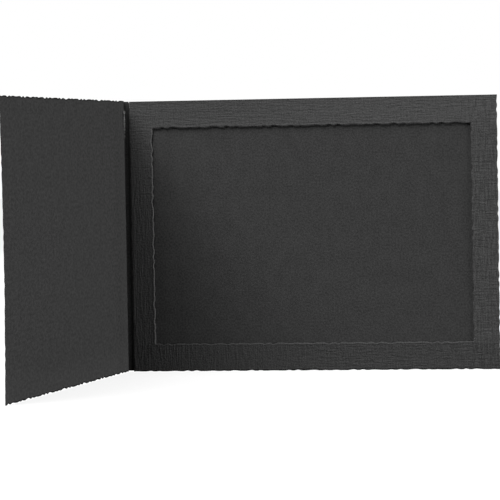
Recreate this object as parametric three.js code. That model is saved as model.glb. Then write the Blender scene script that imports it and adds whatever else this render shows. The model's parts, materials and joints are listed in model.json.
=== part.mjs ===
// Photo folder of black card for a landscape print, standing open like a book.
// One die-cut sheet, linen-embossed outside and smooth inside, is scored and folded into a cover, a spine,
// a back panel and a frame leaf that turns down over the back panel from a fold along its top edge.
// Two lines of glue close the pocket at the right and at the bottom, and the print slides in at the left.
// Millimetres, +Z up. The framed panel stands in the XZ plane and faces -Y, with the cover at its left.

import * as THREE from 'three';

// Card, and the print that the pocket takes
const cardThickness = 0.45;
const printThickness = 0.25;
const printClearance = 0.15;

// Size of the closed folder
const foldedWidth = 193.7;
const foldedHeight = 142.9;

// Frame leaf: rails around the window, and how far it laps past the back panel
const leftRail = 12.2;
const rightRail = 13.8;
const topRail = 14.6;
const bottomRail = 14.7;
const leafLap = 0.45;

// Cover and gutter
const coverRise = 0.5;
const coverClearance = 1.1;
const gutterClearance = 0.475;
const creaseClearance = 0.05;

// Folds of the two creases as the folder stands open: the spine lies flat beside the back panel
const spineFoldDegrees = 0;
const coverFoldDegrees = 83;

// Glue lines
const glueWidth = 4.0;
const glueSetback = 2.5;
const glueBreak = 3.0;

// Deckle: the wavy bite of the cutting die along the free edges, shallower round the pocket and its mouth
const decklePitch = 6.7;
const deckleDepth = 0.65;
const outerDeckleDepth = 0.4;
const mouthDeckleDepth = 0.35;
const deckleStep = 1.1;
const deckleDrift = 1.3;
const driftPitches = 2.7;
const deckleSwell = 0.28;
const swellPitches = 4.3;
const crestShare = 0.16;
const cornerFade = 4.0;

// Where in its wave each outline's deckle starts, in radians, so that no two edges match
const backPhase = 0.4;
const leafPhase = 2.1;
const windowPhase = 3.6;
const coverPhase = 5.2;

// Facets of the round stretches
const foldSegments = 12;
const creaseSides = 12;

// Sizes that follow from the driving ones, from the back crease as x = 0, y = 0
const pocketGap = printThickness + printClearance;
const halfCard = cardThickness / 2;
const creaseSetback = halfCard + creaseClearance;
const leafPlane = -(cardThickness + pocketGap);
const spineWidth = coverClearance + cardThickness - leafPlane;
const leafLeft = halfCard + gutterClearance;
const leafTop = foldedHeight - coverRise;
const foldRadius = pocketGap / 2 + cardThickness;
const foldLine = leafTop - foldRadius;
const backRight = foldedWidth - leafLap;
const backBottom = leafLap;

const cardMaterial = new THREE.MeshStandardMaterial({ color: 0x3a3a3a, roughness: 0.85, metalness: 0 });
const creaseMaterial = new THREE.MeshStandardMaterial({ color: 0x2b2b2b, roughness: 0.75, metalness: 0 });
const glueMaterial = new THREE.MeshStandardMaterial({ color: 0xcfc9b8, roughness: 0.5, metalness: 0 });

// Depth of the deckle at a distance along an edge. The teeth drift in spacing and swell in height, their
// crests are flat on the nominal edge, and they fade out at both corners.
function deckleBite(along, length, phase, depth) {
  const turn = (2 * Math.PI * along) / decklePitch;
  const drift = deckleDrift * Math.sin(turn / driftPitches + phase);
  const swell = 1 - deckleSwell * (1 + Math.sin(turn / swellPitches + 2 * phase));
  const wave = (1 - Math.cos(turn + drift + phase)) / 2;
  const bite = Math.max(0, swell * wave - crestShare) / (1 - crestShare);
  const fade = Math.min(1, along / cornerFade, (length - along) / cornerFade);
  return depth * bite * fade;
}

// Points of one edge from a corner up to, but without, the next. The bite is taken to the left of the way
// that the edge runs, which is into the card for an outline run anticlockwise and for a hole run clockwise.
function deckledEdge(from, to, phase, depth) {
  const length = from.distanceTo(to);
  const forward = to.clone().sub(from).normalize();
  const inward = new THREE.Vector2(-forward.y, forward.x);
  const steps = Math.ceil(length / deckleStep);
  const biteAt = (step) => deckleBite((length * step) / steps, length, phase, depth);
  const points = [from];
  for (let step = 1; step < steps; step += 1) {
    const bite = biteAt(step);
    const onFlatCrest = bite === 0 && biteAt(step - 1) === 0 && biteAt(step + 1) === 0;
    if (!onFlatCrest) {
      const along = (length * step) / steps;
      points.push(from.clone().addScaledVector(forward, along).addScaledVector(inward, bite));
    }
  }
  return points;
}

// A closed outline from its corners in order. Each entry of depths is the deckle of the edge that starts at
// that corner, and 0 leaves the edge straight.
function deckledOutline(corners, depths, phase) {
  return corners.flatMap((corner, index) => {
    const next = corners[(index + 1) % corners.length];
    return depths[index] > 0 ? deckledEdge(corner, next, phase + index, depths[index]) : [corner];
  });
}

function corner(x, z) {
  return new THREE.Vector2(x, z);
}

// A flat piece of the card with the given outline in X and Z, its mid-plane at the given y.
function cardPiece(name, shape, midPlane) {
  const geometry = new THREE.ExtrudeGeometry(shape, { depth: cardThickness, bevelEnabled: false });
  const mesh = new THREE.Mesh(geometry, cardMaterial);
  mesh.name = name;
  mesh.rotation.x = Math.PI / 2;
  mesh.position.y = midPlane + halfCard;
  return mesh;
}

// The rear wall of the pocket, from the spine's crease to the deckled right edge. It ends at the fold line.
function makeBackPanel() {
  const corners = [
    corner(creaseSetback, backBottom),
    corner(backRight, backBottom),
    corner(backRight, foldLine),
    corner(creaseSetback, foldLine),
  ];
  const depths = [outerDeckleDepth, outerDeckleDepth, 0, 0];
  const outline = deckledOutline(corners, depths, backPhase);
  return cardPiece('back_panel', new THREE.Shape(outline), 0);
}

// The round fold along the top that turns the card from the back panel down into the frame leaf.
function makeTopFold() {
  const profile = new THREE.Shape();
  profile.absarc(0, 0, foldRadius, 0, Math.PI, false);
  profile.absarc(0, 0, pocketGap / 2, Math.PI, 0, true);
  const geometry = new THREE.ExtrudeGeometry(profile, {
    depth: backRight - leafLeft,
    bevelEnabled: false,
    curveSegments: foldSegments,
  });
  const mesh = new THREE.Mesh(geometry, cardMaterial);
  mesh.name = 'top_fold';
  mesh.rotation.set(Math.PI / 2, Math.PI / 2, 0);
  mesh.position.set(leafLeft, leafPlane / 2, foldLine);
  return mesh;
}

// The leaf in front of the pocket: four rails round a deckled window.
function makeWindowFrame() {
  const outer = [
    corner(leafLeft, 0),
    corner(foldedWidth, 0),
    corner(foldedWidth, foldLine),
    corner(leafLeft, foldLine),
  ];
  const leafDepths = [outerDeckleDepth, outerDeckleDepth, 0, mouthDeckleDepth];
  const shape = new THREE.Shape(deckledOutline(outer, leafDepths, leafPhase));
  const window = [
    corner(leafLeft + leftRail, bottomRail),
    corner(leafLeft + leftRail, leafTop - topRail),
    corner(foldedWidth - rightRail, leafTop - topRail),
    corner(foldedWidth - rightRail, bottomRail),
  ];
  const lipDepths = window.map(() => deckleDepth);
  shape.holes.push(new THREE.Path(deckledOutline(window, lipDepths, windowPhase)));
  return cardPiece('window_frame', shape, leafPlane);
}

// A flat line of dried glue that fills the pocket between its two walls.
function makeGlueLine(name, width, height, centreX, centreZ) {
  const mesh = new THREE.Mesh(new THREE.BoxGeometry(width, pocketGap, height), glueMaterial);
  mesh.name = name;
  mesh.position.set(centreX, leafPlane / 2, centreZ);
  return mesh;
}

function makeBottomGlueLine() {
  const left = leafLeft + glueSetback;
  const right = backRight - glueSetback;
  const middle = backBottom + glueSetback + glueWidth / 2;
  return makeGlueLine('bottom_glue_line', right - left, glueWidth, (left + right) / 2, middle);
}

function makeRightGlueLine() {
  const bottom = backBottom + glueSetback + glueWidth + glueBreak;
  const top = foldLine - glueSetback;
  const middle = backRight - glueSetback - glueWidth / 2;
  return makeGlueLine('right_glue_line', glueWidth, top - bottom, middle, (bottom + top) / 2);
}

// The bead that a score raises along its crease, as thick as the card and as tall as the spine.
function makeCrease(name) {
  const height = leafTop - backBottom;
  const bead = new THREE.CylinderGeometry(halfCard, halfCard, height, creaseSides);
  const mesh = new THREE.Mesh(bead, creaseMaterial);
  mesh.name = name;
  mesh.rotation.x = Math.PI / 2;
  mesh.position.z = backBottom + height / 2;
  return mesh;
}

// The narrow strip between the two scores.
function makeSpineStrip() {
  const outline = [
    corner(creaseSetback - spineWidth, backBottom),
    corner(-creaseSetback, backBottom),
    corner(-creaseSetback, leafTop),
    corner(creaseSetback - spineWidth, leafTop),
  ];
  return cardPiece('spine_strip', new THREE.Shape(outline), 0);
}

// The cover, deckled on its three free edges.
function makeFrontCover() {
  const corners = [
    corner(-foldedWidth, 0),
    corner(-creaseSetback, 0),
    corner(-creaseSetback, foldedHeight),
    corner(-foldedWidth, foldedHeight),
  ];
  const outline = deckledOutline(corners, [deckleDepth, 0, deckleDepth, deckleDepth], coverPhase);
  return cardPiece('front_cover', new THREE.Shape(outline), 0);
}

// The cover turns on the spine's far crease, and the spine on the back panel's.
const cover = new THREE.Group();
cover.position.x = -spineWidth;
cover.rotation.z = THREE.MathUtils.degToRad(coverFoldDegrees);
cover.add(makeFrontCover());

const coverCrease = makeCrease('cover_crease');
coverCrease.position.x = -spineWidth;

const spine = new THREE.Group();
spine.rotation.z = THREE.MathUtils.degToRad(spineFoldDegrees);
spine.add(makeSpineStrip(), coverCrease, cover);

const folder = new THREE.Group();
folder.name = 'photo_folder';
folder.add(makeBackPanel(), makeTopFold(), makeWindowFrame());
folder.add(makeRightGlueLine(), makeBottomGlueLine(), makeCrease('back_crease'), spine);

// The origin is under the middle of the open folder, on the surface that it stands on.
const extent = new THREE.Box3().setFromObject(folder, true);
const middle = extent.getCenter(new THREE.Vector3());
folder.position.set(-middle.x, -middle.y, -extent.min.z);

export default folder;
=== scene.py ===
"""Looks of a black card photo folder that stands open like a book.

One sheet of card, linen-embossed outside and smooth inside, is folded into a cover, a spine, a back panel
and a frame leaf that turns down over the back panel from a fold along its top edge. Each stretch of card
is a flat blank that a Geometry Nodes rule cuts to its deckled outline, crushes along the cut, embosses and
warps.

Lengths are in metres and angles in radians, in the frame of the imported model. A sheet's own coordinates
are across (away from its crease, to the right), up, and out (towards the viewer of the open folder).
"""

import json
import logging
import math
from dataclasses import dataclass, field, fields, replace
from enum import Enum
from types import SimpleNamespace
from typing import Callable, Optional, Sequence, Union

import bmesh
import bpy
import numpy as np
from bpy.types import ID, Material, Mesh, Node, NodeSocket, NodeTree, Object
from mathutils import Matrix, Vector


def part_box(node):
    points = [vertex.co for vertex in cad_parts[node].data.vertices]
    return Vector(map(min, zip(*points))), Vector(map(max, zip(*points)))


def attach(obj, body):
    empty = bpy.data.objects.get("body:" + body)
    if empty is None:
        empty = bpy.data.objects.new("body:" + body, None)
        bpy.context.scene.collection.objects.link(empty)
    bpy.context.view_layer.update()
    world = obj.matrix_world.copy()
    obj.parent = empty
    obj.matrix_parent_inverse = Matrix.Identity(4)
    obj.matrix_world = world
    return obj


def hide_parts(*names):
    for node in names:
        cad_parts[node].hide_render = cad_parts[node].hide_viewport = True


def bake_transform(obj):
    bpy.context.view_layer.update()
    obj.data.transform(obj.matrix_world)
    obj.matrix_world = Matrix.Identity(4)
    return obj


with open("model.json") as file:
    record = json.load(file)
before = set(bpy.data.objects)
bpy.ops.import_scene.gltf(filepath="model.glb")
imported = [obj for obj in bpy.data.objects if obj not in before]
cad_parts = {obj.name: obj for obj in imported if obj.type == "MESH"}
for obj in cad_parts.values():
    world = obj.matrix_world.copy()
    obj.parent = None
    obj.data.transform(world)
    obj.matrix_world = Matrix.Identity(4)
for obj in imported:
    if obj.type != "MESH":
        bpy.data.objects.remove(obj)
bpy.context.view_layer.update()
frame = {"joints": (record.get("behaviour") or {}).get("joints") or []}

MM = 0.001
WHITE = (1.0, 1.0, 1.0, 1.0)
log = logging.getLogger("photo_folder")

# Values that a sheet's mesh carries for its materials and its rule
SHEET = "sheet"
LIP = "lip"
BORDER = "border"
SURFACE = "surface"


class Side(Enum):
    """Which way the embossed side of a sheet looks, as the sign of out."""

    FRONT = 1.0
    BACK = -1.0


class Surface(Enum):
    """The three kinds of face on a sheet of card."""

    FRONT = 0
    BACK = 1
    CUT = 2


Operand = Union[float, "Flow"]


def arithmetic(operation: str) -> Callable[..., "Flow"]:
    """Makes a method of Flow out of an operation.

    Args:
        operation: Blender's name of the operation.

    Returns:
        The method, which takes the operands after the flow itself.
    """
    def method(value: "Flow", *others: Operand) -> "Flow":
        """Puts the flow and the others through a math node."""
        return value.board.math(operation, value, *others)

    return method


class Flow:
    """A value that runs through a node tree and can be written in arithmetic."""

    __add__ = __radd__ = arithmetic("ADD")
    __sub__ = arithmetic("SUBTRACT")
    __mul__ = __rmul__ = arithmetic("MULTIPLY")
    __truediv__ = arithmetic("DIVIDE")
    __abs__ = arithmetic("ABSOLUTE")
    power = arithmetic("POWER")
    root = arithmetic("SQRT")
    sine = arithmetic("SINE")
    cosine = arithmetic("COSINE")
    least = arithmetic("MINIMUM")
    most = arithmetic("MAXIMUM")
    above = arithmetic("GREATER_THAN")

    def __init__(self, board: "Board", socket: NodeSocket) -> None:
        """Keeps the board that the value belongs to and the socket that gives it."""
        self.board = board
        self.socket = socket

    def __rsub__(self, other: Operand) -> "Flow":
        """Another value less this one."""
        return self.board.math("SUBTRACT", other, self)

    def step(self, low: Operand, high: Operand) -> "Flow":
        """A smooth step from 0 to 1.

        Args:
            low: value at which the step is 0.
            high: value at which the step is 1, above or below low.

        Returns:
            The step at this value.
        """
        share = (self - low) / (high - low)
        eased = self.board.node("ShaderNodeMapRange", interpolation_type="SMOOTHSTEP")
        return self.board.filled(eased, share)


class Board:
    """A node tree that is being wired up."""

    def __init__(self, tree: NodeTree) -> None:
        """Keeps the tree to wire."""
        self.tree = tree

    def node(self, kind: str, inputs: Optional[dict[str, object]] = None, **settings: object) -> Node:
        """Adds a node.

        Args:
            kind: Blender's name of the node type.
            inputs: what to feed the node's inputs, by name.
            settings: properties of the node to set first.

        Returns:
            The new node.
        """
        made = self.tree.nodes.new(kind)
        for name, value in settings.items():
            setattr(made, name, value)
        self.fill(made, inputs or {})
        return made

    def feed(self, socket: NodeSocket, operand: object) -> None:
        """Links a flow to a socket, or sets the socket to a constant.

        Args:
            socket: the input to feed.
            operand: a flow of this board, or a constant.
        """
        if isinstance(operand, Flow):
            self.tree.links.new(operand.socket, socket)
        else:
            socket.default_value = operand

    def fill(self, node: Node, inputs: dict[str, object]) -> None:
        """Feeds inputs of a node by name."""
        for name, operand in inputs.items():
            self.feed(node.inputs[name], operand)

    def filled(self, node: Node, *operands: Operand) -> Flow:
        """Feeds the inputs of a node in their order.

        Args:
            node: the node.
            operands: what to feed its inputs, from the first one on.

        Returns:
            What the node makes of them.
        """
        for socket, operand in zip(node.inputs, operands):
            self.feed(socket, operand)
        return self.made_by(node)

    def made_by(self, node: Node, output: Union[int, str] = 0) -> Flow:
        """The flow out of a node's output."""
        return Flow(self, node.outputs[output])

    def passed(self, geometry: Flow, kind: str, inputs: dict[str, object], **settings: object) -> Flow:
        """A geometry after it has passed through a new node with the given inputs and settings."""
        return self.made_by(self.node(kind, {"Geometry": geometry, **inputs}, **settings))

    def math(self, operation: str, *operands: Operand) -> Flow:
        """The result of a math node with Blender's name for the operation."""
        return self.filled(self.node("ShaderNodeMath", operation=operation), *operands)

    def constant(self, value: float) -> Flow:
        """A number as a flow.

        Args:
            value: the number.

        Returns:
            A flow that has it everywhere.
        """
        made = self.node("ShaderNodeValue")
        made.outputs[0].default_value = value
        return self.made_by(made)

    def attribute(self, name: str, output: str) -> Flow:
        """A value that the mesh carries, in a material's tree."""
        return self.made_by(self.node("ShaderNodeAttribute", attribute_name=name), output)

    def join(self, x: Operand, y: Operand, z: Operand) -> Flow:
        """A vector from its three parts."""
        return self.filled(self.node("ShaderNodeCombineXYZ"), x, y, z)

    def split(self, vector: Flow) -> tuple[Flow, Flow, Flow]:
        """The three parts of a vector."""
        made = self.node("ShaderNodeSeparateXYZ", {"Vector": vector})
        return self.made_by(made, 0), self.made_by(made, 1), self.made_by(made, 2)

    def noise(self, x: Operand, y: Operand, seed: float, detail: float = 1.0) -> Flow:
        """Smooth noise from 0 to 1, about one unit long, with octaves of finer noise as its detail."""
        inputs = {"Vector": self.join(x, y, seed), "Scale": 1.0, "Detail": detail}
        return self.made_by(self.node("ShaderNodeTexNoise", inputs, noise_dimensions="3D"))


def new_material(name: str) -> tuple[Material, Board, Node]:
    """Makes a plain material.

    Args:
        name: its name.

    Returns:
        The material, its tree and its shader.
    """
    made = bpy.data.materials.new(name)
    made.use_nodes = True
    return made, Board(made.node_tree), made.node_tree.nodes["Principled BSDF"]


def add_object(name: str, data: ID) -> Object:
    """Puts a new object into the scene, at the origin.

    Args:
        name: its name.
        data: its mesh, lamp or camera.

    Returns:
        The object.
    """
    made = bpy.data.objects.new(name, data)
    bpy.context.scene.collection.objects.link(made)
    return made


@dataclass(frozen=True)
class Ramp:
    """A smooth step from 0 at one value to 1 at another, above or below it."""

    zero: float
    one: float

    def at(self, value: Flow) -> Flow:
        """The step at a value."""
        return value.step(self.zero, self.one)


@dataclass(frozen=True)
class Grain:
    """Smooth noise on a sheet, in spots of a given length and width."""

    length: float
    width: float
    seed: float
    detail: float = 1.0
    contrast: Optional[Ramp] = None

    def at(self, along: Flow, beside: Operand) -> Flow:
        """The noise at a place along and across its spots, from 0 to 1."""
        noise = along.board.noise(along / self.length, beside / self.width, self.seed, self.detail)
        return self.contrast.at(noise) if self.contrast else noise


@dataclass(frozen=True)
class Mark:
    """A stretch of a sheet whose tone or relief is changed, which a ramp up the sheet, across it or both
    fade out. A change of tone is painted light or shade.
    """

    amount: float
    up: Optional[Ramp] = None
    across: Optional[Ramp] = None
    both_sides: bool = False

    def at(self, across: Flow, up: Flow) -> Flow:
        """How much a place has changed.

        Args:
            across: place across the sheet.
            up: place up the sheet.

        Returns:
            The amount, times each ramp that the mark has.
        """
        beside = abs(across) if self.both_sides else across
        ramps = ((self.up, up), (self.across, beside))
        return math.prod((ramp.at(place) for ramp, place in ramps if ramp), start=self.amount)


THREAD_CONTRAST = Ramp(0.3, 0.7)
FIBRE_CONTRAST = Ramp(0.25, 0.75)
CLOUD_CONTRAST = Ramp(0.2, 0.8)
CRACK_CONTRAST = Ramp(0.45, 0.75)


@dataclass(frozen=True)
class LinenWeave:
    """The embossed cloth pattern: short threads across and up, with small knots among them."""

    weft: Grain = Grain(8.0 * MM, 1.1 * MM, 11.0, contrast=THREAD_CONTRAST)
    warp: Grain = Grain(7.0 * MM, 0.95 * MM, 31.0, contrast=THREAD_CONTRAST)
    knots: Grain = Grain(1.2 * MM, 1.2 * MM, 51.0, contrast=THREAD_CONTRAST)
    weft_share: float = 0.41
    warp_share: float = 0.36
    knot_share: float = 0.24

    def relief(self, across: Flow, up: Flow, rubbed: Operand = 0.0) -> Flow:
        """Height of the cloth.

        Args:
            across: place across the sheet.
            up: place up the sheet.
            rubbed: share of the weft that wear has taken off.

        Returns:
            The height, from 0 to about 1.
        """
        weft = self.weft.at(across, up) * self.weft_share * (1.0 - rubbed)
        warp = self.warp.at(up, across) * self.warp_share
        return weft + warp + self.knots.at(across, up) * self.knot_share


@dataclass(frozen=True)
class CardFinish:
    """What the finishes of the card share: a matt black that is dyed through."""

    name: str
    dark: float
    pale: float
    # Painted highlight near the cut edges whose rims catch the side lamp
    lip: Ramp = Ramp(0.7 * MM, 0.0)
    edge_highlight: float = 0.0
    # Painted shade along the level cuts at the top and bottom
    border: Ramp = Ramp(1.1 * MM, 0.0)
    border_shade: float = 0.0
    roughness: float = 0.8
    gloss: float = 0.03
    bump_depth: float = 0.02 * MM
    # Ramped changes of tone: painted light and shade
    marks: tuple[Mark, ...] = ()

    def pattern(self, across: Flow, up: Flow) -> tuple[Flow, Flow]:
        """Tone from 0, dark, to 1, pale, and height from 0 to 1 at a place. Each finish has its own."""
        raise NotImplementedError

    def material(self) -> Material:
        """Makes the material.

        Returns:
            A material that reads the sheet's own coordinates and its distances from the cuts.
        """
        made, board, shader = new_material(self.name)
        across, up, _ = board.split(board.attribute(SHEET, "Vector"))
        tone, height = self.pattern(across, up)
        # Painted light and shade from the marks
        tone = sum((mark.at(across, up) for mark in self.marks), tone)
        # Painted highlight: brighter near the highlit edges
        highlit = 1.0 + self.lip.at(board.attribute(LIP, "Fac")) * self.edge_highlight
        # Painted shade: darker along the level cuts
        pressed = 1.0 - self.border.at(board.attribute(BORDER, "Fac")) * self.border_shade
        value = (self.dark + (self.pale - self.dark) * tone) * highlit * pressed
        bump = board.node("ShaderNodeBump", {"Distance": self.bump_depth, "Height": height})
        board.fill(shader, {
            "Base Color": board.join(value, value, value),
            "Roughness": self.roughness,
            "Specular IOR Level": self.gloss,
            "Normal": board.made_by(bump),
        })
        return made


@dataclass(frozen=True)
class LinenFinish(CardFinish):
    """The embossed outside of the card."""

    name: str = "linen_card"
    dark: float = 0.0175
    pale: float = 0.0805
    # Painted highlight near the highlit edges and painted shade along the level cuts
    edge_highlight: float = 0.9
    border_shade: float = 0.8
    gloss: float = 0.05
    bump_depth: float = 0.28 * MM
    weave: LinenWeave = LinenWeave()
    grain: Grain = Grain(0.6 * MM, 0.6 * MM, 43.0, contrast=FIBRE_CONTRAST)
    ground: float = 0.22
    grain_share: float = 0.45
    warp_share: float = 0.11
    # Painted light and shade on the upright threads at the right
    warp_highlight: Mark = Mark(0.17, across=Ramp(168.0 * MM, 182.0 * MM))
    rubbed: Mark = Mark(0.8, Ramp(125.0 * MM, 70.0 * MM), Ramp(130.0 * MM, 30.0 * MM), both_sides=True)
    # Painted light: paler at the top, more so towards the right. Painted shade: darker at the foot and in a
    # band along the top fold
    marks: tuple[Mark, ...] = (
        Mark(0.13, up=Ramp(120.0 * MM, 134.0 * MM), across=Ramp(10.0 * MM, 150.0 * MM)),
        Mark(-0.09, up=Ramp(16.0 * MM, 11.0 * MM)),
        Mark(-0.55, up=Ramp(141.15 * MM, 142.35 * MM)),
    )

    def pattern(self, across: Flow, up: Flow) -> tuple[Flow, Flow]:
        """The cloth, with painted light and shade on the upright threads at the right and the weft rubbed
        down near the crease.

        Args:
            across: place across the sheet.
            up: place up the sheet.

        Returns:
            Tone and height, as in CardFinish.
        """
        warp = self.weave.warp.at(up, across)
        cloth = self.ground + self.grain_share * self.grain.at(across, up) + self.warp_share * warp
        threads = self.warp_highlight.at(across, up) * (warp - 0.5)
        return cloth + threads, self.weave.relief(across, up, self.rubbed.at(across, up))


@dataclass(frozen=True)
class SmoothFinish(CardFinish):
    """The smooth inside of the card, with the fibres and clouds of uncoated stock."""

    name: str = "smooth_card"
    dark: float = 0.029
    pale: float = 0.053
    gloss: float = 0.0
    # Painted shade along the level cuts
    border_shade: float = 0.8
    clouds: Grain = Grain(6.0 * MM, 9.0 * MM, 3.0, 3.0, CLOUD_CONTRAST)
    fibres: Grain = Grain(0.85 * MM, 0.95 * MM, 15.0, contrast=FIBRE_CONTRAST)
    cloud_share: float = 0.25

    def pattern(self, across: Flow, up: Flow) -> tuple[Flow, Flow]:
        """The clouded fibres, whose height is without the clouds."""
        fibres = self.fibres.at(across, up)
        return self.cloud_share * self.clouds.at(across, up) + (1.0 - self.cloud_share) * fibres, fibres


@dataclass(frozen=True)
class GlintStretch:
    """Where a crease gets a painted glint, near its top."""

    rise: Ramp = Ramp(121.0 * MM, 134.5 * MM)
    fall: Ramp = Ramp(139.0 * MM, 136.0 * MM)
    glint_breaks: Grain = Grain(1.6 * MM, 1.0, 27.0, 2.0, THREAD_CONTRAST)

    def at(self, up: Flow) -> Flow:
        """How strong the painted glint is at a height, from 0 to 1."""
        return self.rise.at(up) * self.fall.at(up)

    def ragged(self, up: Flow) -> Flow:
        """How far the painted glint opens at a height, from 0 to 1."""
        return self.glint_breaks.at(up, 0.0)


@dataclass(frozen=True)
class CreasedFinish(SmoothFinish):
    """Smooth card beside a crease: a painted glint at the fold near its top, and a painted shade line next
    to that.
    """

    glint_stretch: GlintStretch = GlintStretch()
    crease_at: float = 0.0
    glint_reach: float = 0.5 * MM
    glint_least: float = 0.5
    glint_tone: float = 30.0
    tone_least: float = 0.4
    shade_reach: float = 3.0 * MM
    shade_tone: float = 1.3
    soft: float = 0.25 * MM

    def pattern(self, across: Flow, up: Flow) -> tuple[Flow, Flow]:
        """The clouded fibres with the painted glint and the painted shade line.

        Args:
            across: place across the sheet.
            up: place up the sheet.

        Returns:
            Tone and height, as in CardFinish.
        """
        tone, height = super().pattern(across, up)
        aside = abs(across - self.crease_at)
        ragged = self.glint_stretch.ragged(up)
        reach = self.glint_reach * (self.glint_least + ragged)
        # Painted glint on the fold and a painted shade line beside it, near the top of the crease
        glint_band = aside.step(reach + self.soft, reach - self.soft)
        pressed = aside.step(self.shade_reach + self.soft, self.shade_reach - self.soft) - glint_band
        glinting = glint_band * (self.tone_least + (1.0 - self.tone_least) * ragged) * self.glint_tone
        return tone + self.glint_stretch.at(up) * (glinting - pressed * self.shade_tone), height


@dataclass(frozen=True)
class CoverInsideFinish(CreasedFinish):
    """The inside of the cover, with longer fibres than the rest."""

    name: str = "cover_inside"
    dark: float = 0.030
    pale: float = 0.048
    fibres: Grain = Grain(2.4 * MM, 1.4 * MM, 15.0, contrast=FIBRE_CONTRAST)
    # Painted light: paler at the foot and beside the crease
    marks: tuple[Mark, ...] = (
        Mark(0.3, up=Ramp(18.0 * MM, 3.0 * MM)),
        Mark(0.42, across=Ramp(16.0 * MM, 1.0 * MM), both_sides=True),
    )


@dataclass(frozen=True)
class SpineInsideFinish(CreasedFinish):
    """The inside of the spine, with a painted glint along the cover's crease and no painted shade line."""

    name: str = "spine_inside"
    crease_at: float = -2.4 * MM
    glint_reach: float = 0.6 * MM
    glint_tone: float = 26.0
    shade_reach: float = 0.6 * MM
    shade_tone: float = 0.0


@dataclass(frozen=True)
class CutFinish(CardFinish):
    """The rough core that shows where the die crushed the card apart."""

    name: str = "cut_card"
    dark: float = 0.04
    pale: float = 0.075
    roughness: float = 0.9
    bump_depth: float = 0.04 * MM
    fibres: Grain = Grain(0.35 * MM, 0.35 * MM, 23.0, 3.0)

    def pattern(self, across: Flow, up: Flow) -> tuple[Flow, Flow]:
        """The torn fibres, whose tone is their height."""
        fibres = self.fibres.at(across, up)
        return fibres, fibres


@dataclass(frozen=True)
class CreaseFinish(CardFinish):
    """Card that the score has pressed smooth, with fine cracks along its bead."""

    name: str = "scored_card"
    dark: float = 0.022
    pale: float = 0.045
    roughness: float = 0.6
    gloss: float = 0.02
    cracks: Grain = Grain(0.12 * MM, 5.0 * MM, 31.0, 2.0)
    clouds: Grain = Grain(4.0 * MM, 4.0 * MM, 35.0, 2.0)
    cloud_share: float = 0.4
    glint_stretch: GlintStretch = GlintStretch()
    bead_glint_tone: float = 0.0
    inner_girth: Ramp = Ramp(0.8 * MM, 1.15 * MM)

    def pattern(self, across: Flow, up: Flow) -> tuple[Flow, Flow]:
        """The pressed fibres, with a painted glint on the inner side near the top.

        Args:
            across: place round the bead, from its outer side to its inner one.
            up: place up the bead.

        Returns:
            Tone and height, as in CardFinish.
        """
        cracks = self.cracks.at(across, up)
        pressed = CRACK_CONTRAST.at(cracks) * (1.0 - self.cloud_share)
        clouds = self.clouds.at(across, up) * self.cloud_share
        # Painted glint on the inner side of the bead near the top
        glint_stretch = self.glint_stretch.at(up) * self.glint_stretch.ragged(up)
        return pressed + clouds + glint_stretch * self.inner_girth.at(across) * self.bead_glint_tone, cracks


@dataclass(frozen=True)
class GlintCreaseFinish(CreaseFinish):
    """The cover's crease, with a painted glint near its top."""

    name: str = "glint_crease_card"
    bead_glint_tone: float = 26.0


@dataclass(frozen=True)
class GlueFinish:
    """Dried white glue with a satin skin."""

    name: str = "dried_glue"
    dark: tuple[float, float, float] = (0.50, 0.46, 0.36)
    pale: tuple[float, float, float] = (0.70, 0.66, 0.56)
    roughness: float = 0.45
    clouds: Grain = Grain(3.0 * MM, 3.0 * MM, 51.0, 3.0)

    def material(self) -> Material:
        """Makes the material.

        Returns:
            A material that is clouded on Object coordinates.
        """
        made, board, shader = new_material(self.name)
        x, _, z = board.split(board.made_by(board.node("ShaderNodeTexCoord"), "Object"))
        tones = {"Factor": self.clouds.at(x, z), "A": (*self.dark, 1.0), "B": (*self.pale, 1.0)}
        mixed = board.node("ShaderNodeMix", tones, data_type="RGBA")
        board.fill(shader, {"Base Color": board.made_by(mixed, "Result"), "Roughness": self.roughness})
        return made


@dataclass(frozen=True)
class Finishes:
    """The materials of the folder, made once."""

    linen: Material
    smooth: Material
    cover_inside: Material
    spine_inside: Material
    cut: Material
    scored: Material
    glint_crease: Material
    glue: Material

    @classmethod
    def make(cls) -> "Finishes":
        """Makes every material of the folder.

        Returns:
            The set of them.
        """
        kinds = (LinenFinish, SmoothFinish, CoverInsideFinish, SpineInsideFinish, CutFinish, CreaseFinish,
                 GlintCreaseFinish, GlueFinish)
        return cls(*(kind().material() for kind in kinds))


@dataclass(frozen=True)
class CardRule:
    """Sizes that the card's Geometry Nodes rule takes, each a named input of its tree."""

    thickness: float
    deckle_pitch: float = 6.7 * MM
    deckle_drift: float = 1.3
    drift_pitches: float = 2.7
    deckle_swell: float = 0.28
    swell_pitches: float = 4.3
    crest_share: float = 0.16
    corner_fade: float = 4.0 * MM
    bite_reach: float = 2.5 * MM
    fray: float = 0.06 * MM
    fray_pitch: float = 0.9 * MM
    crush_width: float = 0.5 * MM
    crush_bend: float = 1.4
    burr: float = 0.1 * MM
    burr_place: float = 0.75 * MM
    burr_width: float = 0.45 * MM
    linen_rim: float = 0.35
    smooth_rim: float = 0.12
    emboss: float = 0.01 * MM
    lip_lift: float = 0.0
    ripple: float = 0.12 * MM
    ripple_length: float = 46.0 * MM
    bow: float = 0.0
    seam_fade: float = 0.7 * MM
    hold_fade: float = 9.0 * MM


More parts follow.
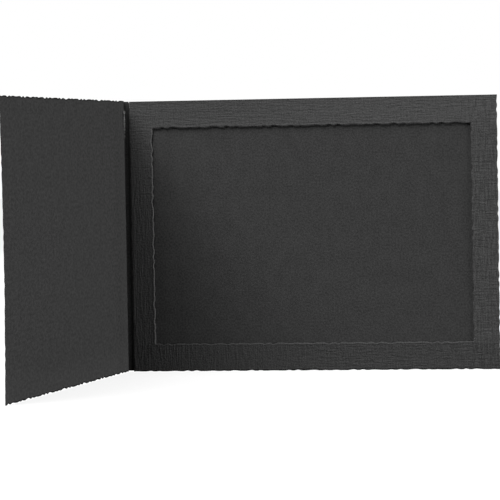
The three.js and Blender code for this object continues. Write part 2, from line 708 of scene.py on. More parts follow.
@dataclass(frozen=True)
class Edge:
    """A straight run of a sheet's outline with the card at its left."""

    start: Vector
    end: Vector
    phase: float
    depth: float

    @property
    def length(self) -> float:
        """Length of the run."""
        return (self.end - self.start).length

    @property
    def heading(self) -> Vector:
        """Unit vector along the run."""
        return (self.end - self.start).normalized()

    @property
    def inward(self) -> Vector:
        """Unit vector into the card."""
        return Vector((-self.heading.y, self.heading.x))

    def along(self, across: Flow, up: Flow) -> Flow:
        """How far along the run a point lies."""
        return (across - self.start.x) * self.heading.x + (up - self.start.y) * self.heading.y

    def depth_in(self, across: Flow, up: Flow) -> Flow:
        """How far into the card from the run a point lies."""
        return (across - self.start.x) * self.inward.x + (up - self.start.y) * self.inward.y

    def distance(self, across: Flow, up: Flow) -> Flow:
        """Distance of a point from the run, whose ends count as points.

        Args:
            across: place of the point across the sheet.
            up: place of the point up the sheet.

        Returns:
            The distance.
        """
        along = self.along(across, up)
        past = (0.0 - along).most(along - self.length).most(0.0)
        depth_in = self.depth_in(across, up)
        return (depth_in * depth_in + past * past).root()


@dataclass(frozen=True)
class Area:
    """A rectangle on a sheet, with the deckle of its bottom, right, top and left edges."""

    left: float
    right: float
    bottom: float
    top: float
    depths: tuple[float, float, float, float] = (0.0, 0.0, 0.0, 0.0)
    phase: float = 0.0

    @property
    def _corners(self) -> list[Vector]:
        """The corners, anticlockwise from the bottom left."""
        return [Vector(place) for place in ((self.left, self.bottom), (self.right, self.bottom),
                                            (self.right, self.top), (self.left, self.top))]

    def _edges(self, corners: Sequence[Vector], depths: Sequence[float]) -> list[Edge]:
        """The edges from each corner to the next.

        Args:
            corners: the corners in order.
            depths: depth of the deckle on the edge that starts at each corner.

        Returns:
            The edges. The deckle of each starts a radian on from the last.
        """
        following = [*corners[1:], corners[0]]
        return [Edge(start, end, self.phase + index, depth)
                for index, (start, end, depth) in enumerate(zip(corners, following, depths))]

    def border(self) -> list[Edge]:
        """The edges as the outline of a sheet: bottom, right, top and left."""
        return self._edges(self._corners, self.depths)

    def hole(self) -> list[Edge]:
        """The edges as a hole in a sheet: left, top, right and bottom."""
        first, *others = self._corners
        return self._edges([first, *reversed(others)], self.depths[::-1])


EDGE_INPUTS = ("along", "length", "phase", "depth")
DECKLE_INPUTS = ("deckle_pitch", "deckle_drift", "drift_pitches", "deckle_swell", "swell_pitches",
                 "crest_share", "corner_fade")


def deckle_group() -> NodeTree:
    """The wave of the cutting die as a node group.

    The teeth drift in spacing and swell in height, their crests are flat on the nominal edge, and they fade
    out at both corners.

    Returns:
        A group that turns a place along an edge into the depth of the bite there.
    """
    tree = bpy.data.node_groups.new("deckle_bite", "GeometryNodeTree")
    board = Board(tree)
    names = EDGE_INPUTS + DECKLE_INPUTS
    for name in names:
        tree.interface.new_socket(name, in_out="INPUT", socket_type="NodeSocketFloat")
    tree.interface.new_socket("bite", in_out="OUTPUT", socket_type="NodeSocketFloat")
    entry = board.node("NodeGroupInput")
    along, length, phase, depth, pitch, drift, drift_pitches, swell, swell_pitches, crest, fade = (
        board.made_by(entry, name) for name in names)
    turn = along / pitch * math.tau
    drifted = turn + drift * (turn / drift_pitches + phase).sine() + phase
    height = 1.0 - swell * (1.0 + (turn / swell_pitches + phase * 2.0).sine())
    wave = (1.0 - drifted.cosine()) * 0.5
    bite = (height * wave - crest).most(0.0) / (1.0 - crest)
    corner = (along / fade).least((length - along) / fade).least(1.0)
    board.node("NodeGroupOutput", {"bite": depth * bite * corner.most(0.0)})
    return tree


# How far a point counts as being from an edge that its sheet doesn't have
FAR = 1.0
FRAY_SEED = 61.0
FRAY_DETAIL = 2.0
FRAY_LEVEL = 0.4
RIPPLE_SEED = 71.0


class CardTree(Board):
    """The Geometry Nodes rule that turns the blank of a sheet into finished card."""

    def __init__(self, sheet: "Sheet", finishes: Finishes) -> None:
        """Wires the rule, with a named input for each of its sizes.

        Args:
            sheet: the sheet that the rule makes.
            finishes: the folder's materials.
        """
        super().__init__(bpy.data.node_groups.new(f"{sheet.name}_rule", "GeometryNodeTree"))
        self.sheet = sheet
        sockets = self.tree.interface
        sockets.new_socket("blank", in_out="INPUT", socket_type="NodeSocketGeometry")
        sockets.new_socket("card", in_out="OUTPUT", socket_type="NodeSocketGeometry")
        self.inputs: dict[str, str] = {}
        for size in fields(CardRule):
            made = sockets.new_socket(size.name, in_out="INPUT", socket_type="NodeSocketFloat")
            self.inputs[size.name] = made.identifier
        entry = self.node("NodeGroupInput")
        self.size = SimpleNamespace(**{name: self.made_by(entry, name) for name in self.inputs})
        position = self.made_by(self.node("GeometryNodeInputPosition"))
        self.across, self.up, self.out = self.split(position)
        self.rim = self._nearest(sheet.cuts)
        marked = self._marked(self.made_by(entry, "blank"))
        moved = self.passed(marked, "GeometryNodeSetPosition", {"Position": self._placed()})
        self.node("NodeGroupOutput", {"card": self._coated(moved, finishes)})

    def _nearest(self, edges: Sequence[Edge]) -> Flow:
        """Distance of each point from the nearest of some edges.

        Args:
            edges: the edges, which may be none.

        Returns:
            The distance, or FAR where there are no edges.
        """
        nearest = self.constant(FAR)
        for edge in edges:
            nearest = edge.distance(self.across, self.up).least(nearest)
        return nearest

    def _marked(self, geometry: Flow) -> Flow:
        """Stores what the materials read on each point.

        Args:
            geometry: the blank.

        Returns:
            The blank with each point's place on the sheet and its distances from the worn and level cuts.
        """
        marks = ((SHEET, "FLOAT_VECTOR", self.join(self.across, self.up, self.sheet.seed)),
                 (LIP, "FLOAT", self._nearest(self.sheet.highlit_edges)),
                 (BORDER, "FLOAT", self._nearest(self.sheet.level_borders)))
        for name, kind, value in marks:
            geometry = self.passed(geometry, "GeometryNodeStoreNamedAttribute",
                                   {"Name": name, "Value": value}, data_type=kind, domain="POINT")
        return geometry

    def _bites(self) -> tuple[Operand, Operand]:
        """How far the deckle and the fray of the cuts move each point.

        Returns:
            The moves across and up.
        """
        size, across, up = self.size, self.across, self.up
        group = deckle_group()
        seed = self.sheet.seed + FRAY_SEED
        frayed = self.noise(across / size.fray_pitch, up / size.fray_pitch, seed, FRAY_DETAIL)
        fray = (frayed - FRAY_LEVEL) * size.fray
        move_across: Operand = 0.0
        move_up: Operand = 0.0
        for cut in self.sheet.cuts:
            node = self.node("GeometryNodeGroup", node_tree=group)
            waves = [getattr(size, name) for name in DECKLE_INPUTS]
            bite = self.filled(node, cut.along(across, up), cut.length, cut.phase, cut.depth, *waves)
            near = abs(cut.depth_in(across, up)).step(size.bite_reach, 0.0)
            beside = cut.distance(across, up).step(size.crush_width, 0.0)
            move = bite * near + fray * beside
            move_across = move * cut.inward.x + move_across
            move_up = move * cut.inward.y + move_up
        return move_across, move_up

    def _height(self, seam: Flow) -> Flow:
        """Height of each point above the middle of the card: crushed at the cuts, embossed and burred.

        Args:
            seam: distance from the nearest seam.

        Returns:
            The height towards the embossed side.
        """
        size = self.size
        inner = 1.0 - (self.rim / size.crush_width).least(1.0)
        rise = 1.0 - inner.power(size.crush_bend)
        linen_level = size.linen_rim + (1.0 - size.linen_rim) * rise
        smooth_level = size.smooth_rim * (1.0 - rise)
        embossed = (self.out * self.sheet.linen.value).above(0.0)
        level = smooth_level + (linen_level - smooth_level) * embossed
        cloth = (LinenWeave().relief(self.across, self.up) - 1.0) * size.emboss
        free = seam.step(0.0, size.seam_fade) * self.rim.step(0.0, size.crush_width)
        beside = abs(self._nearest(self.sheet.lips) - size.burr_place)
        burr = beside.step(size.burr_width, 0.0) * size.burr
        return (level - 0.5) * size.thickness + (cloth * free + burr) * embossed

    def _warp(self, seam: Flow) -> Flow:
        """How far the whole card stands out of its plane: rippled, bowed and sprung at the window.

        Args:
            seam: distance from the nearest seam.

        Returns:
            The distance out.
        """
        size, sheet, across, up = self.size, self.sheet, self.across, self.up
        seed = sheet.seed + RIPPLE_SEED
        wave = self.noise(across / size.ripple_length, up / size.ripple_length, seed)
        rippled = (wave - 0.5) * seam.step(0.0, size.hold_fade) * size.ripple * 2.0
        centred = (up - sheet.area.bottom) / (sheet.top - sheet.area.bottom) * 2.0 - 1.0
        reach = across / max(abs(sheet.area.left), abs(sheet.area.right))
        warped = rippled + size.bow * reach * reach * (1.0 - centred * centred)
        return warped + self._lip_share() * size.lip_lift if sheet.window else warped

    def _lip_share(self) -> Flow:
        """How far each point lies from the border to a lip.

        Returns:
            A share from 0 to 1, eased at the border.
        """
        held = self._nearest(self.sheet.borders)
        if self.sheet.fold_radius:
            held = held.least(self.sheet.area.top - self.up).most(0.0)
        share = held / (held + self._nearest(self.sheet.lips))
        return share * share

    def _placed(self) -> Flow:
        """Where each point of the blank goes.

        Returns:
            The finished point in the sheet's own coordinates.
        """
        move_across, move_up = self._bites()
        seam = self._nearest(self.sheet.seams)
        lifted = self._height(seam) * self.sheet.linen.value + self._warp(seam)
        across, up = self.across + move_across, self.up + move_up
        fold_line, fold_radius = self.sheet.area.top, self.sheet.fold_radius
        if not fold_radius:
            return self.join(across, up, lifted)
        angle = (self.up - fold_line).most(0.0) / fold_radius
        radius = lifted + fold_radius
        turned_up = up.least(fold_line) + radius * angle.sine()
        turned_out = radius * angle.cosine() - fold_radius
        return self.join(across, turned_up, turned_out)

    def _coated(self, geometry: Flow, finishes: Finishes) -> Flow:
        """Gives each kind of face its material.

        Args:
            geometry: the shaped card.
            finishes: the folder's materials.

        Returns:
            The finished card.
        """
        front, back = finishes.linen, finishes.smooth
        if self.sheet.linen is Side.BACK:
            front, back = back, front
        coated = self.passed(geometry, "GeometryNodeRealizeInstances", {})
        for surface, material in zip(Surface, (front, back, finishes.cut)):
            kind = self.node("GeometryNodeInputNamedAttribute", {"Name": SURFACE}, data_type="INT")
            same = self.node("FunctionNodeCompare", data_type="INT", operation="EQUAL")
            first, second = [socket for socket in same.inputs if socket.type == "INT"]
            self.feed(first, self.made_by(kind))
            self.feed(second, surface.value)
            chosen = {"Selection": self.made_by(same), "Material": material}
            coated = self.passed(coated, "GeometryNodeSetMaterial", chosen)
        return coated


@dataclass(frozen=True)
class Stop:
    """A grid line that has to be there, and whether the card is cut off beside it."""

    at: float
    cut_after: bool = False
    cut_before: bool = False


CUT_ROWS = tuple(MM * row for row in (0.04, 0.12, 0.24, 0.4, 0.6, 0.85, 1.15))
LEAST_STEPS = 5


def grid_lines(stops: Sequence[Stop], spacing: float) -> np.ndarray:
    """Grid lines through the stops, closer together where the card is crushed along a cut.

    Args:
        stops: the lines that have to be there, in order. After a stop with cut_after, and before one with
            cut_before, the rows of the crushed edge follow.
        spacing: widest gap elsewhere.

    Returns:
        The places of the lines.
    """
    lines: list[float] = []
    for start, end in zip(stops, stops[1:]):
        rising = [start.at + row for row in CUT_ROWS] if start.cut_after else []
        falling = [end.at - row for row in reversed(CUT_ROWS)] if end.cut_before else []
        low = rising[-1] if rising else start.at
        high = falling[0] if falling else end.at
        steps = max(math.ceil((high - low) / spacing), LEAST_STEPS)
        inner = list(np.linspace(low, high, steps + 1)[1:-1])
        lines += [start.at, *rising, *inner, *falling]
    return np.array([*lines, stops[-1].at])


SHARP_ANGLE = math.radians(50.0)


def soften(mesh: Mesh) -> None:
    """Shades a mesh smooth, apart from its sharp edges."""
    mesh.polygons.foreach_set("use_smooth", np.ones(len(mesh.polygons), bool))
    mesh.set_sharp_from_angle(angle=SHARP_ANGLE)


# Corners of a grid cell from its own corner, anticlockwise, and the cells past the edges that start there
CELL_CORNERS = ((0, 0), (1, 0), (1, 1), (0, 1))
CELLS_BESIDE = ((1, 0), (2, 1), (1, 2), (0, 1))


@dataclass
class Sheet:
    """A stretch of the card between two folds, cut, crushed and embossed by its rule."""

    name: str
    place: Matrix
    area: Area
    spacing: float
    linen: Side
    rule: CardRule
    seed: float
    window: Optional[Area] = None
    fold_radius: float = 0.0

    @property
    def top(self) -> float:
        """Top of the flat blank, which goes on round the fold where there is one."""
        return self.area.top + math.pi * self.fold_radius

    @property
    def borders(self) -> list[Edge]:
        """The outer edges that the die has cut."""
        return [edge for edge in self.area.border() if edge.depth]

    @property
    def seams(self) -> list[Edge]:
        """The edges of the blank where the card goes on."""
        return [edge for edge in replace(self.area, top=self.top).border() if not edge.depth]

    @property
    def lips(self) -> list[Edge]:
        """The edges of the window."""
        return self.window.hole() if self.window else []

    @property
    def cuts(self) -> list[Edge]:
        """Every edge that the die has cut."""
        return self.borders + self.lips

    @property
    def level_borders(self) -> list[Edge]:
        """The outer cuts that run across the sheet."""
        return [edge for edge in self.borders if abs(edge.heading.x) > abs(edge.heading.y)]

    @property
    def highlit_edges(self) -> list[Edge]:
        """The two edges that get a painted highlight: the leaf's left edge at the mouth of the pocket and
        the window's left lip.
        """
        mouth = [edge for edge in self.borders if self.window and edge.heading.y < -abs(edge.heading.x)]
        return mouth + [edge for edge in self.lips if edge.heading.y > abs(edge.heading.x)]

    @property
    def columns(self) -> np.ndarray:
        """The grid lines that run up the blank.

        Returns:
            Their places across it.
        """
        _, right, _, left = self.area.depths
        stops = [Stop(self.area.left, cut_after=left > 0.0)]
        if self.window:
            stops += [Stop(self.window.left, cut_before=True), Stop(self.window.right, cut_after=True)]
        return grid_lines([*stops, Stop(self.area.right, cut_before=right > 0.0)], self.spacing)

    @property
    def rows(self) -> np.ndarray:
        """The grid lines that run across the blank.

        Returns:
            Their places up it.
        """
        bottom, _, top, _ = self.area.depths
        stops = [Stop(self.area.bottom, cut_after=bottom > 0.0)]
        if self.window:
            stops += [Stop(self.window.bottom, cut_before=True), Stop(self.window.top, cut_after=True)]
        if self.fold_radius:
            stops.append(Stop(self.area.top))
        return grid_lines([*stops, Stop(self.top, cut_before=top > 0.0)], self.spacing)

    def _cells(self) -> np.ndarray:
        """Which cells of the grid are card.

        Returns:
            A table of columns and rows, with one more cell all round that isn't card.
        """
        across, up = ((lines[:-1] + lines[1:]) / 2 for lines in (self.columns, self.rows))
        card = np.ones((len(across), len(up)), bool)
        if self.window:
            card &= ~np.outer((across > self.window.left) & (across < self.window.right),
                              (up > self.window.bottom) & (up < self.window.top))
        return np.pad(card, 1)

    def _blank(self) -> Mesh:
        """The flat blank: both faces and the cut walls, with the kind of each face stored on it.

        Returns:
            A closed mesh in the sheet's own coordinates.
        """
        card = self._cells()
        used = card[1:, 1:] | card[:-1, 1:] | card[1:, :-1] | card[:-1, :-1]
        count = int(used.sum())
        index = np.full(used.shape, -1)
        index[used] = np.arange(count)
        column, row = np.nonzero(card[1:-1, 1:-1])
        ring = [index[column + right, row + above] for right, above in CELL_CORNERS]
        front = np.stack(ring, axis=1)
        walls = []
        for first, second, (right, above) in zip(ring, ring[1:] + ring[:1], CELLS_BESIDE):
            bare = ~card[column + right, row + above]
            first, second = first[bare], second[bare]
            walls.append(np.stack([first, first + count, second + count, second], axis=1))
        faces = np.concatenate([front, front[:, ::-1] + count, *walls])
        kinds = np.full(len(faces), Surface.CUT.value, np.int32)
        kinds[:len(front)] = Surface.FRONT.value
        kinds[len(front):2 * len(front)] = Surface.BACK.value
        across, up = np.meshgrid(self.columns, self.rows, indexing="ij")
        flat = np.stack([across[used], up[used], np.full(count, self.rule.thickness / 2)], axis=1)
        points = np.concatenate([flat, flat * (1.0, 1.0, -1.0)])
        mesh = bpy.data.meshes.new(self.name)
        mesh.from_pydata(points.tolist(), [], faces.tolist())
        mesh.attributes.new(SURFACE, "INT", "FACE").data.foreach_set("value", kinds)
        return mesh

    def build(self, finishes: Finishes) -> Object:
        """Makes the sheet as a plain mesh in its place.

        Args:
            finishes: the folder's materials.

        Returns:
            The piece, at the origin with its place in its mesh.
        """
        piece = add_object(self.name, self._blank())
        rule = CardTree(self, finishes)
        modifier = piece.modifiers.new("card_rule", "NODES")
        modifier.node_group = rule.tree
        for name, identifier in rule.inputs.items():
            modifier[identifier] = getattr(self.rule, name)
        graph = bpy.context.evaluated_depsgraph_get()
        finished = bpy.data.meshes.new_from_object(piece.evaluated_get(graph), depsgraph=graph)
        finished.name = piece.name
        piece.modifiers.clear()
        piece.data = finished
        finished.transform(self.place)
        soften(finished)
        return piece


def tube_mesh(name: str, points: Sequence[Sequence[float]], sides: int) -> Mesh:
    """A closed tube through rings of points.

    Args:
        name: name of the mesh.
        points: the rings one after another.
        sides: points in a ring.

    Returns:
        The mesh, with its faces outwards.
    """
    last = len(points) - sides
    faces = [list(range(sides)), list(range(last, len(points)))]
    for first in range(0, last, sides):
        for side in range(sides):
            following = (side + 1) % sides
            faces.append([first + side, first + following, first + sides + following, first + sides + side])
    mesh = bpy.data.meshes.new(name)
    mesh.from_pydata([tuple(point) for point in points], [], faces)
    turned = bmesh.new()
    turned.from_mesh(mesh)
    bmesh.ops.recalc_face_normals(turned, faces=turned.faces)
    turned.to_mesh(mesh)
    turned.free()
    soften(mesh)
    return mesh


def hand_over(piece: Object, slot: str, *nodes: str) -> None:
    """Puts a finished piece in the place of its CAD nodes and logs its number of triangles.

    Args:
        piece: the piece, which already moves with its bodies.
        slot: not used.
        nodes: the CAD nodes that it replaces.
    """
    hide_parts(*nodes)
    piece.data.calc_loop_triangles()
    log.info("%s: %d triangles", piece.name, len(piece.data.loop_triangles))


@dataclass(frozen=True)
class Fold:
    """A scored crease: where its axis stands, and how far it is folded at rest from lying flat."""

    axis: Vector
    angle: float

    @classmethod
    def of_joint(cls, name: str) -> "Fold":
        """The crease that a hinge turns on, which lies flat at the hinge's lower limit.

        Args:
            name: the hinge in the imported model.

        Returns:
            The crease at rest.
        """
        joint = next(joint for joint in frame["joints"] if joint["name"] == name)
        x, y, _ = joint["pos_m"]
        return cls(Vector((x, y, 0.0)), -math.radians(joint["range_deg"][0]))


@dataclass(frozen=True)
class Folds:
    """The two creases of the gutter and the card that they are scored in."""

    back: Fold = field(default_factory=lambda: Fold.of_joint("spine_fold"))
    cover: Fold = field(default_factory=lambda: Fold.of_joint("cover_fold"))

    @property
    def spine_width(self) -> float:
        """Distance between the two axes."""
        return (self.cover.axis - self.back.axis).length

    @property
    def setback(self) -> float:
        """Distance from a crease's axis to the sheet beside it."""
        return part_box("back_panel")[0].x - self.back.axis.x

    @property
    def thickness(self) -> float:
        """Thickness of the card."""
        low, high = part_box("window_frame")
        return high.y - low.y


def sheet_place(axis: Vector, turn: float, plane: float = 0.0) -> Matrix:
    """Where a sheet's own coordinates lie.

    Args:
        axis: foot of the crease that the sheet is measured from.
        turn: angle that the sheet is folded by, from the back panel.
        plane: how far the sheet's middle lies in front of the crease.

    Returns:
        The matrix from the sheet's coordinates to the model's.
    """
    standing = Matrix(((1, 0, 0, 0), (0, 0, -1, -plane), (0, 1, 0, 0), (0, 0, 0, 1)))
    return Matrix.Translation(axis) @ Matrix.Rotation(turn, 4, "Z") @ standing


DECKLE_DEPTH = 0.65 * MM
OUTER_DECKLE_DEPTH = 0.4 * MM
MOUTH_DECKLE_DEPTH = 0.35 * MM


@dataclass
class Pocket:
    """The framed panel: the back panel, the frame leaf with the fold above it, and two lines of glue."""

    folds: Folds
    finishes: Finishes
    left_rail: float = 12.2 * MM
    right_rail: float = 13.8 * MM
    top_rail: float = 14.6 * MM
    bottom_rail: float = 14.7 * MM
    lip_lift: float = 0.3 * MM
    leaf_spacing: float = 0.55 * MM
    panel_spacing: float = 0.85 * MM
    back_phase: float = 0.4
    leaf_phase: float = 2.1
    window_phase: float = 3.6
    back_seed: float = 0.31
    leaf_seed: float = 0.67
    glue_wobble: float = 0.5 * MM
    glue_step: float = 1.5 * MM
    glue_taper: float = 0.15
    glue_end: float = 0.3
    glue_side: tuple[tuple[float, float], ...] = (
        (0.0, -1.0), (0.8, -0.97), (1.0, 0.0), (0.8, 0.97), (0.0, 1.0))

    def build(self) -> None:
        """Makes every piece of the framed panel."""
        self._back_panel()
        self._frame_leaf()
        self._glue("right_glue_line", upright=True, seed=3)
        self._glue("bottom_glue_line", upright=False, seed=4)

    def _dress(self, piece: Object, slot: str, *nodes: str) -> None:
        """Puts a piece on the framed panel in the place of its CAD nodes."""
        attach(piece, "framed_panel")
        hand_over(piece, slot, *nodes)

    def _back_panel(self) -> None:
        """The rear wall of the pocket, embossed behind and deckled at the right and the bottom."""
        low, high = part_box("back_panel")
        axis = self.folds.back.axis
        depths = (OUTER_DECKLE_DEPTH, OUTER_DECKLE_DEPTH, 0.0, 0.0)
        sheet = Sheet(
            name="back_card",
            place=sheet_place(axis, 0.0),
            area=Area(low.x - axis.x, high.x - axis.x, low.z, high.z, depths, self.back_phase),
            spacing=self.panel_spacing,
            linen=Side.BACK,
            rule=CardRule(high.y - low.y),
            seed=self.back_seed,
        )
        self._dress(sheet.build(self.finishes), "card", "back_panel")

    def _frame_leaf(self) -> None:
        """The leaf with its window, and the fold above it that turns it down from the back panel."""
        low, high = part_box("window_frame")
        axis = self.folds.back.axis
        plane = axis.y - (low.y + high.y) / 2
        left, right = low.x - axis.x, high.x - axis.x
        window_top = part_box("top_fold")[1].z - self.top_rail
        depths = (OUTER_DECKLE_DEPTH, OUTER_DECKLE_DEPTH, 0.0, MOUTH_DECKLE_DEPTH)
        sheet = Sheet(
            name="frame_leaf",
            place=sheet_place(axis, 0.0, plane),
            area=Area(left, right, low.z, high.z, depths, self.leaf_phase),
            spacing=self.leaf_spacing,
            linen=Side.FRONT,
            rule=CardRule(self.folds.thickness, lip_lift=self.lip_lift),
            seed=self.leaf_seed,
            window=Area(left + self.left_rail, right - self.right_rail, self.bottom_rail, window_top,
                        (DECKLE_DEPTH,) * 4, self.window_phase),
            fold_radius=plane / 2,
        )
        self._dress(sheet.build(self.finishes), "card", "window_frame", "top_fold")

    def _glue(self, node: str, upright: bool, seed: int) -> None:
        """A pressed line of glue with an uneven outline, in the space of its CAD node.

        Args:
            node: the CAD node that it replaces.
            upright: whether it runs up the panel, and not across it.
            seed: which uneven outline.
        """
        low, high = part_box(node)
        run = (low.z, high.z) if upright else (low.x, high.x)
        span = (low.x, high.x) if upright else (low.z, high.z)
        steps = math.ceil((run[1] - run[0]) / self.glue_step)
        draws = np.random.default_rng(seed).uniform(0.0, self.glue_wobble, (2, steps + 1))
        smooth = (np.roll(draws, 1, axis=1) + 2 * draws + np.roll(draws, -1, axis=1)) / 4
        tapers = np.maximum(np.sin(np.linspace(0.0, math.pi, steps + 1)) ** self.glue_taper, self.glue_end)
        ring = self.glue_side + tuple((-side, depth) for side, depth in reversed(self.glue_side[1:-1]))
        middle = sum(span) / 2
        depth_middle = (low.y + high.y) / 2
        depth_half = (high.y - low.y) / 2
        points: list[tuple[float, float, float]] = []
        for step, taper in enumerate(tapers):
            at = run[0] + (run[1] - run[0]) * step / steps
            lower = (middle - span[0] - smooth[0, step]) * taper
            upper = (span[1] - middle - smooth[1, step]) * taper
            for side, depth in ring:
                beside = middle + side * (upper if side > 0 else lower)
                y = depth_middle + depth * depth_half
                points.append((beside, y, at) if upright else (at, y, beside))
        piece = add_object(node.replace("_line", "_bead"), tube_mesh(node, points, len(ring)))
        piece.data.materials.append(self.finishes.glue)
        self._dress(piece, "glue", node)


@dataclass
class Gutter:
    """The scored spine: a narrow strip of card between two creases."""

    folds: Folds
    finishes: Finishes
    bead_rise: float = 0.10 * MM
    bead_room: float = 0.02 * MM
    bead_wobble: float = 0.02 * MM
    groove: float = 0.05 * MM
    least_bend: float = 0.001
    bead_step: float = 1.2 * MM
    arc_steps: int = 8
    spacing: float = 0.8 * MM
    spine_seed: float = 0.13

    def build(self) -> None:
        """Makes the strip and both creases."""
        back, cover = self.folds.back, self.folds.cover
        self._strip()
        self._crease("back_crease", back, 0.0, self.finishes.scored, seed=5)
        self._crease("cover_crease", cover, back.angle, self.finishes.glint_crease, seed=6)

    def _strip(self) -> None:
        """The strip between the two scores."""
        low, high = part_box("spine_strip")
        setback = self.folds.setback
        sheet = Sheet(
            name="spine_card",
            place=sheet_place(self.folds.back.axis, self.folds.back.angle),
            area=Area(setback - self.folds.spine_width, -setback, low.z, high.z),
            spacing=self.spacing,
            linen=Side.BACK,
            rule=CardRule(self.folds.thickness, ripple=0.0),
            seed=self.spine_seed,
        )
        piece = sheet.build(replace(self.finishes, smooth=self.finishes.spine_inside))
        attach(piece, "spine")
        hand_over(piece, "card", "spine_strip")

    def _section(self, fold: Fold, start: float, bead: float) -> list[Vector]:
        """Section of a crease: the card bends evenly from one sheet to the next.

        Args:
            fold: the crease.
            start: angle that the sheet before the crease is turned by.
            bead: how far the bead stands proud in the middle of the inner side.

        Returns:
            The points of the section in order, from the axis: the outer side, then the inner one back.
        """
        half = self.folds.thickness / 2
        setback = self.folds.setback
        turn = Matrix.Rotation(start, 3, "Z")
        heading = turn @ Vector((-1.0, 0.0, 0.0))
        inner = turn @ Vector((0.0, -1.0, 0.0))
        angle = max(fold.angle, self.least_bend)
        radius = setback / math.tan(angle / 2)
        proud = min(bead, radius - half - self.bead_room)
        outer_side: list[Vector] = []
        inner_side: list[Vector] = []
        for step in range(self.arc_steps + 1):
            share = step / self.arc_steps
            bent = angle * share
            middle = heading * (radius * math.sin(bent) - setback) + inner * radius * (1.0 - math.cos(bent))
            across = inner * math.cos(bent) - heading * math.sin(bent)
            swell = math.sin(math.pi * share) ** 2
            outer_side.append(middle - across * (half - self.groove * swell))
            inner_side.append(middle + across * (half + proud * swell))
        return outer_side + inner_side[::-1]

    def _crease(self, node: str, fold: Fold, start: float,
                finish: Material, seed: int) -> None:
        """A bent crease with the bead that its score raised.

        Args:
            node: the CAD node that it replaces.
            fold: the crease.
            start: angle that the sheet before the crease is turned by.
            finish: the bead's material.
            seed: which wobble of the bead.
        """
        low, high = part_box(node)
        steps = math.ceil((high.z - low.z) / self.bead_step)
        wobble = np.random.default_rng(seed).uniform(-self.bead_wobble, self.bead_wobble, steps + 1)
        points: list[Vector] = []
        places: list[tuple[float, float, float]] = []
        for step in range(steps + 1):
            height = low.z + (high.z - low.z) * step / steps
            section = self._section(fold, start, self.bead_rise + float(wobble[step]))
            girth = 0.0
            for index, point in enumerate(section):
                girth += (point - section[index - 1]).length if index else 0.0
                points.append(fold.axis + point + Vector((0.0, 0.0, height)))
                places.append((girth, height, 0.0))
        mesh = tube_mesh(node, points, len(section))
        mesh.attributes.new(SHEET, "FLOAT_VECTOR", "POINT").data.foreach_set("vector", np.ravel(places))
        for name in (LIP, BORDER):
            mesh.attributes.new(name, "FLOAT", "POINT").data.foreach_set("value", np.full(len(points), FAR))
        mesh.materials.append(finish)
        piece = add_object(f"{node}_bead", mesh)
        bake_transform(piece)
        hand_over(piece, "scored_card", node)


@dataclass
class Cover:
    """The cover, deckled on its three free edges and bowed a little towards its inside."""

    folds: Folds
    finishes: Finishes
    phase: float = 5.2
    bow: float = 0.75 * MM
    spacing: float = 0.85 * MM
    seed: float = 0.97

    def build(self) -> None:
        """Makes the cover."""
        low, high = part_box("front_cover")
        left = self.folds.back.axis.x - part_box("window_frame")[1].x
        depths = (DECKLE_DEPTH, 0.0, DECKLE_DEPTH, DECKLE_DEPTH)
        sheet = Sheet(
            name="cover_card",
            place=sheet_place(self.folds.cover.axis, self.folds.back.angle + self.folds.cover.angle),
            area=Area(left, -self.folds.setback, low.z, high.z, depths, self.phase),
            spacing=self.spacing,
            linen=Side.BACK,
            rule=CardRule(self.folds.thickness, bow=self.bow),
            seed=self.seed,
        )
        piece = sheet.build(replace(self.finishes, smooth=self.finishes.cover_inside))
        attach(piece, "cover")
        hand_over(piece, "card", "front_cover")


@dataclass(frozen=True)
class StudioLight:
    """A soft flat light that looks at the folder."""

    name: str
    place: tuple[float, float, float]
    aim: tuple[float, float, float]
    width: float
    height: float
    power: float

    def build(self) -> None:
        """Hangs the light, out of the camera's sight."""
        lamp = bpy.data.lights.new(self.name, "AREA")
        lamp.shape = "RECTANGLE"
        lamp.size = self.width
        lamp.size_y = self.height
        lamp.energy = self.power
        light = add_object(self.name, lamp)
        light.location = self.place
        look = Vector(self.aim) - Vector(self.place)
        light.rotation_euler = look.to_track_quat("-Z", "Y").to_euler()
        light.visible_camera = False


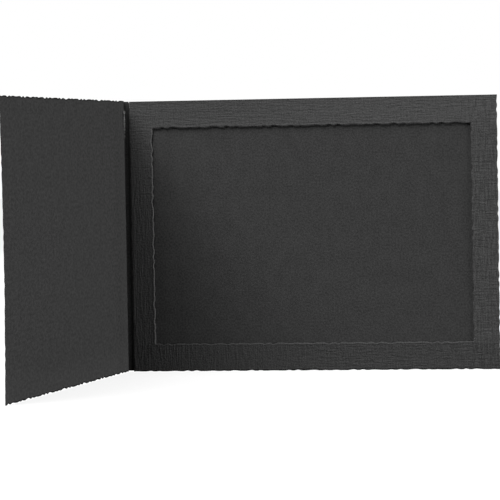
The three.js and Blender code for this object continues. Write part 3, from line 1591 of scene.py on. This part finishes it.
@dataclass
class Studio:
    """The pale floor, the white surround, the lights and the camera."""

    floor_size: float = 12.0
    floor_drop: float = 0.2 * MM
    floor_colour: float = 0.14
    floor_glow: float = 0.88
    ambient: float = 0.01
    camera_place: tuple[float, float, float] = (0.16886, -1.3315, 0.11461)
    camera_yaw: float = math.radians(7.5476)
    camera_pitch: float = math.radians(-2.035)
    camera_roll: float = math.radians(1.0018)
    # Focal length in millimetres, as lenses are marked
    camera_lens: float = 197.763
    camera_reach: float = 50.0
    lights: tuple[StudioLight, ...] = (
        StudioLight("key", (-0.68, -0.65, 1.46), (0.0, 0.03, 0.07), 0.8, 1.4, 57.0),
        StudioLight("side", (1.66, -0.23, 0.13), (0.0, 0.03, 0.07), 1.0, 0.25, 32.0),
        StudioLight("rear", (-0.9, 1.2, 1.0), (0.0, 0.05, 0.07), 1.0, 1.0, 25.0),
    )

    def build(self) -> None:
        """Sets up everything round the folder."""
        bpy.context.scene.view_settings.view_transform = "Standard"
        self._camera()
        self._floor()
        self._world()
        for light in self.lights:
            light.build()

    def _camera(self) -> None:
        """Puts the camera where the photograph was taken from."""
        lens = bpy.data.cameras.new("camera")
        lens.lens = self.camera_lens
        lens.clip_end = self.camera_reach
        camera = add_object("camera", lens)
        turn = (Matrix.Rotation(self.camera_yaw, 4, "Z") @ Matrix.Rotation(self.camera_pitch, 4, "X")
                @ Matrix.Rotation(self.camera_roll, 4, "Y") @ Matrix.Rotation(math.pi / 2, 4, "X"))
        camera.matrix_world = Matrix.Translation(self.camera_place) @ turn
        bpy.context.scene.camera = camera

    def _shown(self, board: Board) -> Flow:
        """Which rays show the surround.

        Args:
            board: the tree of the floor or the world.

        Returns:
            1 for camera, glossy and transmission rays, and 0 for others.
        """
        path = board.node("ShaderNodeLightPath")
        camera, glossy, transmission = (
            board.made_by(path, f"Is {kind} Ray") for kind in ("Camera", "Glossy", "Transmission"))
        return camera.most(glossy).most(transmission)

    def _floor(self) -> None:
        """A plain pale floor that shows white where no shadow falls on it."""
        half = self.floor_size / 2
        corners = [(x * half, y * half, -self.floor_drop) for x, y in ((-1, -1), (1, -1), (1, 1), (-1, 1))]
        mesh = bpy.data.meshes.new("floor")
        mesh.from_pydata(corners, [], [(0, 1, 2, 3)])
        material, board, shader = new_material("pale_floor")
        board.fill(shader, {
            "Base Color": (self.floor_colour,) * 3 + (1.0,),
            "Roughness": 1.0,
            "Specular IOR Level": 0.0,
            "Emission Color": WHITE,
            "Emission Strength": self._shown(board) * self.floor_glow,
        })
        mesh.materials.append(material)
        add_object("floor", mesh)

    def _world(self) -> None:
        """A white surround that gives the folder only a little light."""
        world = bpy.data.worlds.new("surround")
        world.use_nodes = True
        bpy.context.scene.world = world
        board = Board(world.node_tree)
        strength = self.ambient + self._shown(board) * (1.0 - self.ambient)
        board.fill(world.node_tree.nodes["Background"], {"Color": WHITE, "Strength": strength})


def main() -> None:
    """Builds the studio and the folder, piece by piece."""
    logging.basicConfig(level=logging.INFO, format="%(message)s")
    folds = Folds()
    finishes = Finishes.make()
    Studio().build()
    Cover(folds, finishes).build()
    Gutter(folds, finishes).build()
    Pocket(folds, finishes).build()


if __name__ == "__main__":
    main()
